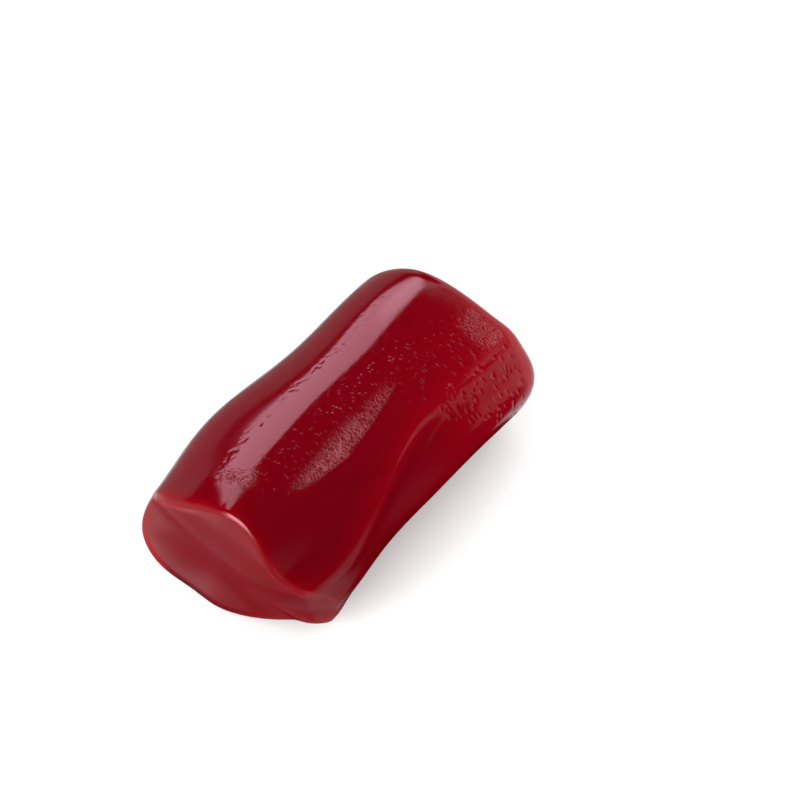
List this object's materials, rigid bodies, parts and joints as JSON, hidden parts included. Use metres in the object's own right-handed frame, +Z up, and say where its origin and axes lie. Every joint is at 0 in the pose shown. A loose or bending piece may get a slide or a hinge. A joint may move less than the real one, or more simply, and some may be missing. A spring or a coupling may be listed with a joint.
{
  "type": "soft licorice piece",
  "caption": "Solid lump of soft red licorice, cut from a thick extruded log with one slanting and one squarer cut, lying on its flattened side.",
  "frame": {"origin": "on the resting surface, under the middle of the piece's bounding box", "axes": "+X along the log from the slanting cut to the squarer cut, +Y towards the waisted long side, +Z up from the flat underside"},
  "size_m": [0.0342, 0.0206, 0.017],
  "materials": {
    "candy": "smooth oiled see-through red candy with fine pits and a glossy skin"
  },
  "bodies": {
    "root": {"licorice_piece": "candy"}
  },
  "joints": []
}
